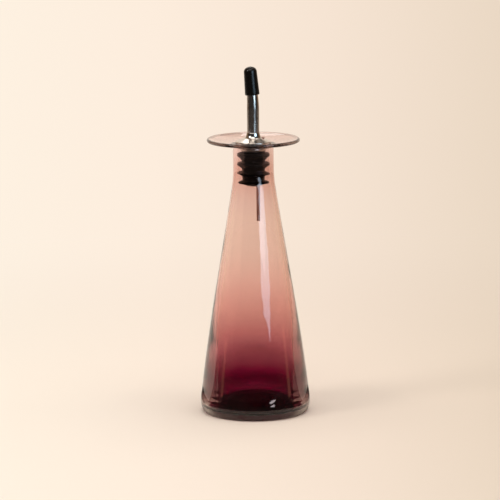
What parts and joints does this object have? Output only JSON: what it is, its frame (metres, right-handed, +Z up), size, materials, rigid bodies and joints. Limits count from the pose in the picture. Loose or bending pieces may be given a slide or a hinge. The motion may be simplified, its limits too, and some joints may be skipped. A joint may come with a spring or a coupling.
{
  "type": "oil dispenser bottle",
  "caption": "Blown glass oil bottle with a tapering body, a wide brim and a bent metal pourer held in the neck by a finned rubber stopper, under a soft dust cap.",
  "frame": {"origin": "centre of the foot, on the ground that the bottle stands on", "axes": "+Z up along the bottle's axis, -X the side that the spout leans to"},
  "size_m": [0.0764, 0.0764, 0.2422],
  "materials": {
    "plum_glass": "blown, clear outside, colour in the wall from plum at the base to pale pink",
    "stopper_rubber": "matt black",
    "stem_steel": "drawn, satin",
    "polished_steel": "polished",
    "cap_vinyl": "soft black vinyl with a slight shine"
  },
  "bodies": {
    "bottle": {"glass_bottle": "plum_glass"},
    "stopper": {"rubber_stopper": "stopper_rubber"},
    "pourer": {"stem_tube": "stem_steel", "collar": "polished_steel", "spout_tube": "polished_steel", "vent_tube": "stem_steel"},
    "cap": {"dust_cap": "cap_vinyl"}
  },
  "joints": [
    {"name": "stopper_lift", "type": "slide", "parent": "bottle", "child": "stopper", "axis": [0, 0, 1], "range_m": [0, 0.095]},
    {"name": "spout_turn", "type": "hinge", "parent": "stopper", "child": "pourer", "pos_m": [0, 0, 0.17], "axis": [0, 0, 1], "continuous": true},
    {"name": "dust_cap_pull", "type": "slide", "parent": "pourer", "child": "cap", "axis": [-0.0767, 0, 0.9971], "range_m": [0, 0.025]}
  ]
}
